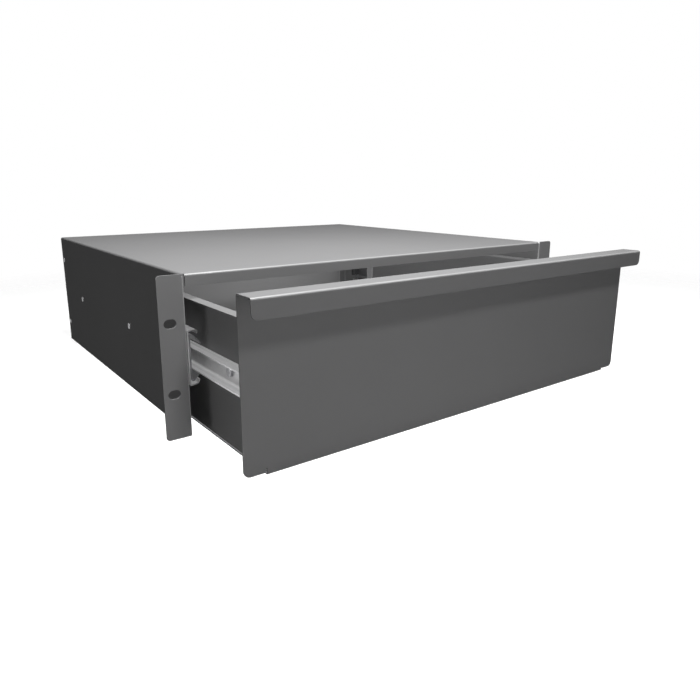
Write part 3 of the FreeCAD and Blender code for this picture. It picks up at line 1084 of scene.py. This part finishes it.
@dataclass
class TelescopicSlide:
    """One side's slide: case rail, middle rail and drawer rail, on two stages of balls."""

    side: Side
    rail_ease: float = 0.12 * MM
    cage_ease: float = 0.08 * MM
    buffer_ease: float = 0.35 * MM

    def build(self, finishes: FinishSet) -> None:
        """Builds the slide.

        Args:
            finishes: The rack drawer's finishes.
        """
        name = self.side.node
        rails = (
            ("case_rail", "case", finishes.rail_zinc),
            ("middle_rail", name("middle"), finishes.shaded_middle_zinc),
            ("drawer_rail", "drawer", finishes.rail_zinc),
        )
        for rail, body, plating in rails:
            EasedSheet(name(rail), body, "rail_zinc", self.rail_ease).build(plating)
        for stage in ("outer", "inner"):
            body = name(f"{stage}_cage")
            cage = EasedSheet(name(f"{stage}_ball_cage"), body, "cage_steel", self.cage_ease)
            cage.build(finishes.cage_steel)
            BallRows(name(f"{stage}_balls"), body).build(finishes.ball_steel)
        buffer = EasedSheet(name("rear_buffer"), "case", "buffer_rubber", self.buffer_ease)
        buffer.build(finishes.buffer_rubber)


# ---- studio ---------------------------------------------------------------------------------
@dataclass(frozen=True)
class SoftLamp:
    """A flat lamp that looks at a point, its width given as a multiple of its height."""

    name: str
    place: Triple
    aim: Triple
    height: float
    power: float
    casts_shadow: bool = True
    spread: float = math.pi
    width_share: float = 1.0

    def build(self) -> None:
        """Adds the lamp."""
        data = bpy.data.lights.new(self.name, "AREA")
        data.use_shadow = self.casts_shadow
        data.spread = self.spread
        data.shape = "RECTANGLE"
        data.size = self.height * self.width_share
        data.size_y = self.height
        data.energy = self.power
        lamp = bpy.data.objects.new(self.name, data)
        bpy.context.scene.collection.objects.link(lamp)
        lamp.location = self.place
        heading = Vector(self.aim) - Vector(self.place)
        lamp.rotation_euler = heading.to_track_quat("-Z", "Y").to_euler()


# The key and overhead lamps cast the shadows that show. The front and near ones fill from the
# front without a shadow, the bay lamp lights the rear panel through the opening, and three
# weaker ones stand at the sides and the rear.
LAMPS = (
    SoftLamp("front_lamp", (-0.1, -1.2, 0.25), (0.0, 0.0, 0.0), 0.4, 1.1, casts_shadow=False),
    SoftLamp("near_lamp", (-0.1, -0.15, 0.6), (-0.1, 0.0, 0.0), 0.3, 7.2, casts_shadow=False),
    SoftLamp(
        "bay_lamp", (0.06, 0.03, 0.0), (0.09, 0.39, 0.0), 0.06, 0.08,
        spread=math.radians(45.0), width_share=4.0,
    ),
    SoftLamp("key_lamp", (0.0, -1.0, 1.18), (0.0, -0.1, 0.0), 0.2, 7.3),
    SoftLamp("overhead_lamp", (-0.1, -0.15, 1.1), (0.0, 0.0, 0.0), 0.25, 9.8),
    SoftLamp("left_lamp", (-1.5, 0.35, 0.5), (-0.2, 0.0, 0.0), 0.3, 4.2),
    SoftLamp("right_lamp", (1.9, 0.5, 0.9), (0.2, 0.1, 0.0), 0.8, 6.0),
    SoftLamp("rear_lamp", (0.4, 2.1, 1.1), (0.0, 0.3, 0.0), 0.8, 8.0),
)


@dataclass
class Studio:
    """A pale floor, a white surround, soft lamps and the camera."""

    floor_half: float = 3.0
    floor_gap: float = 0.4 * MM
    floor_colour: Triple = (0.86, 0.86, 0.86)
    floor_bounce: Triple = (0.08, 0.08, 0.08)
    floor_lift: float = 0.25
    floor_fade: tuple[float, float] = (0.45, 1.1)
    ambient: float = 0.02
    lens: float = 31.381
    sensor: float = 36.0
    shift: tuple[float, float] = (0.00903, -0.0296)
    nearest_seen: float = 0.01
    camera_place: Triple = (-0.3959, -0.44567, 0.1338)
    camera_turn: float = math.radians(36.41)
    camera_down: float = math.radians(13.48)

    def build(self) -> None:
        """Builds the studio."""
        self.build_floor()
        self.build_world()
        for lamp in LAMPS:
            lamp.build()
        self.build_camera()
        bpy.context.scene.view_settings.view_transform = "Standard"

    @staticmethod
    def seen_rays(sheet: NodeSheet) -> bpy.types.NodeSocket:
        """Tells the rays that show a surface from those that light others.

        Args:
            sheet: The nodes of the floor or the surround.

        Returns:
            A socket that is 1 for camera, glossy and transmission rays.
        """
        path = sheet.add("LightPath")
        seen = sheet.maths("MAXIMUM", path.outputs["Is Camera Ray"], path.outputs["Is Glossy Ray"])
        return sheet.maths("MAXIMUM", seen, path.outputs["Is Transmission Ray"])

    def build_floor(self) -> None:
        """Adds the pale floor just under the case."""
        only_nothing()
        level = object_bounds()[0].z - self.floor_gap
        bpy.ops.mesh.primitive_plane_add(size=2 * self.floor_half, location=(0, 0, level))
        floor = bpy.context.active_object
        floor.name = "studio_floor"
        settle(floor)
        dressed(floor, self.floor_material())
        floor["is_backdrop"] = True

    def floor_material(self) -> bpy.types.Material:
        """Builds the floor's surface, which keeps the shadow and fades out around the object.

        Returns:
            The material.
        """
        material = bpy.data.materials.new("floor_pale")
        material.use_nodes = True
        sheet = NodeSheet(material.node_tree)
        matt = sheet.add("BsdfDiffuse")
        glow = sheet.add("Emission")
        seen = self.seen_rays(sheet)
        sheet.join(sheet.mixed(seen, self.floor_bounce, self.floor_colour), matt.inputs["Color"])
        sheet.join(sheet.maths("MULTIPLY", seen, self.floor_lift), glow.inputs["Strength"])
        both = sheet.add("AddShader")
        sheet.join(matt.outputs[0], both.inputs[0])
        sheet.join(glow.outputs[0], both.inputs[1])
        distance = sheet.add("VectorMath", operation="LENGTH")
        sheet.join(sheet.place(), distance.inputs[0])
        fade = sheet.ranged(distance.outputs["Value"], *self.floor_fade)
        clear = sheet.add("BsdfTransparent")
        whole = sheet.add("MixShader")
        sheet.join(fade, whole.inputs["Fac"])
        sheet.join(both.outputs[0], whole.inputs[1])
        sheet.join(clear.outputs[0], whole.inputs[2])
        output = sheet.add("OutputMaterial")
        sheet.join(whole.outputs[0], output.inputs["Surface"])
        return material

    def build_world(self) -> None:
        """Adds the surround: white where it is seen, plain where it lights."""
        world = bpy.data.worlds.new("surround")
        bpy.context.scene.world = world
        world.use_nodes = True
        sheet = NodeSheet(world.node_tree)
        seen = self.seen_rays(sheet)
        background = sheet.add("Background")
        background.inputs["Color"].default_value = (1.0, 1.0, 1.0, 1.0)
        sheet.join(sheet.ranged(seen, 0.0, 1.0, self.ambient, 1.0), background.inputs["Strength"])
        output = sheet.add("OutputWorld")
        sheet.join(background.outputs[0], output.inputs["Surface"])

    def build_camera(self) -> None:
        """Adds the camera, in front of the left ear and a little above the case."""
        data = bpy.data.cameras.new("view_camera")
        data.sensor_width = self.sensor
        data.lens = self.lens
        data.shift_x, data.shift_y = self.shift
        data.clip_start = self.nearest_seen
        camera = bpy.data.objects.new("view_camera", data)
        bpy.context.scene.collection.objects.link(camera)
        camera.location = self.camera_place
        level = math.cos(self.camera_down)
        heading = Vector((
            math.sin(self.camera_turn) * level,
            math.cos(self.camera_turn) * level,
            -math.sin(self.camera_down),
        ))
        camera.rotation_euler = heading.to_track_quat("-Z", "Y").to_euler()
        bpy.context.scene.camera = camera


def main() -> None:
    """Builds the rack drawer and the studio."""
    logging.basicConfig(level=logging.INFO, format="%(name)s: %(message)s")
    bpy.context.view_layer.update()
    finishes = FinishSet()
    RackCase().build(finishes)
    DrawerBox().build(finishes)
    for side in Side:
        TelescopicSlide(side).build(finishes)
    Studio().build()


if __name__ == "__main__":
    main()
